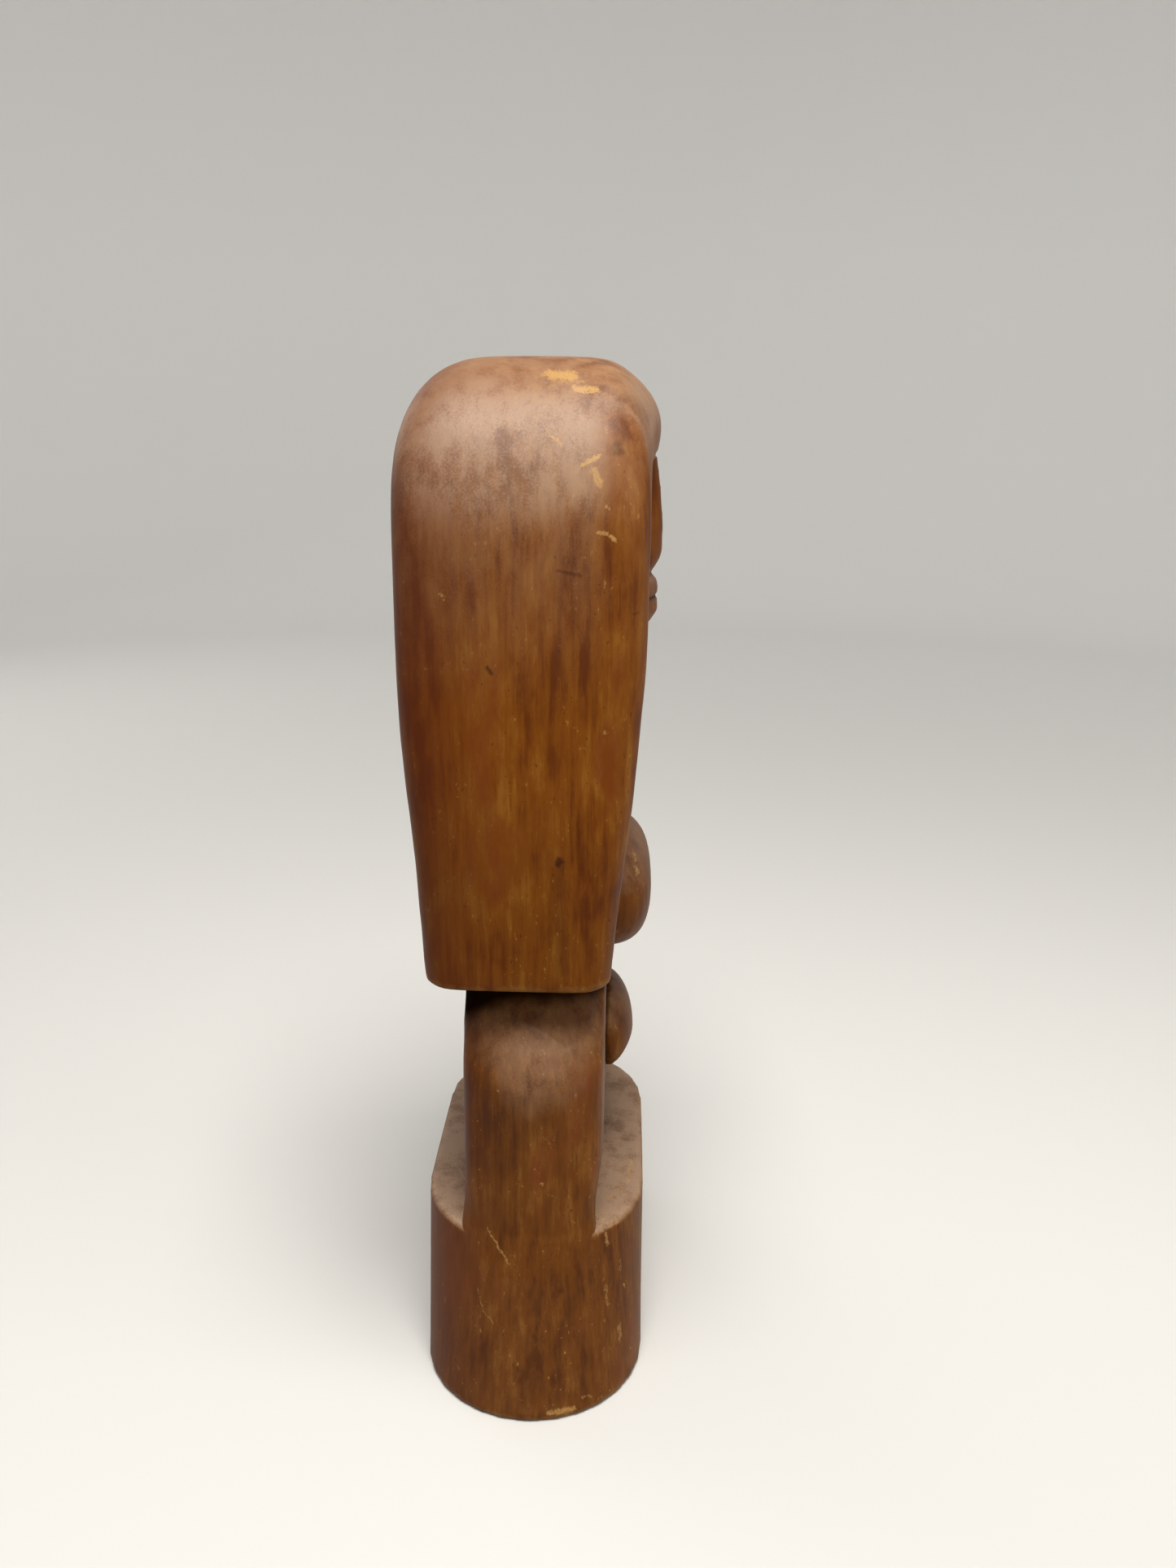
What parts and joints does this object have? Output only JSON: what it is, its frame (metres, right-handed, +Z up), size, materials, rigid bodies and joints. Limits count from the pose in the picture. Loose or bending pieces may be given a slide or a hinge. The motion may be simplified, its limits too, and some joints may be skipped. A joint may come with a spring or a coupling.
{
  "type": "carved tiki figure",
  "caption": "Carved wooden standing figure with a hooded head, calm face, column legs and a long oval plinth, for display on a shelf or table.",
  "frame": {"origin": "middle of the plinth's flat underside", "axes": "+Z up along the figure's height; the figure faces -Y, and its right side is at -X"},
  "size_m": [0.1552, 0.0806, 0.3406],
  "materials": {
    "plinth_wood": "old satin varnish on the sides, worn; dry, rough and pale on top",
    "leg_wood": "old satin varnish with chisel marks",
    "torso_wood": "old satin varnish, dark in the hollows",
    "mantle_wood": "old satin varnish, greyed on top, with small worn patches",
    "face_wood": "old satin varnish",
    "peg_wood": "raw"
  },
  "bodies": {
    "root": {"base": "plinth_wood", "leg_right": "leg_wood", "leg_left": "leg_wood", "torso": "torso_wood", "belly": "torso_wood", "chest": "torso_wood", "hair_mantle": "mantle_wood", "face_panel": "face_wood", "peg_lower": "peg_wood", "peg_upper": "peg_wood"}
  },
  "joints": []
}
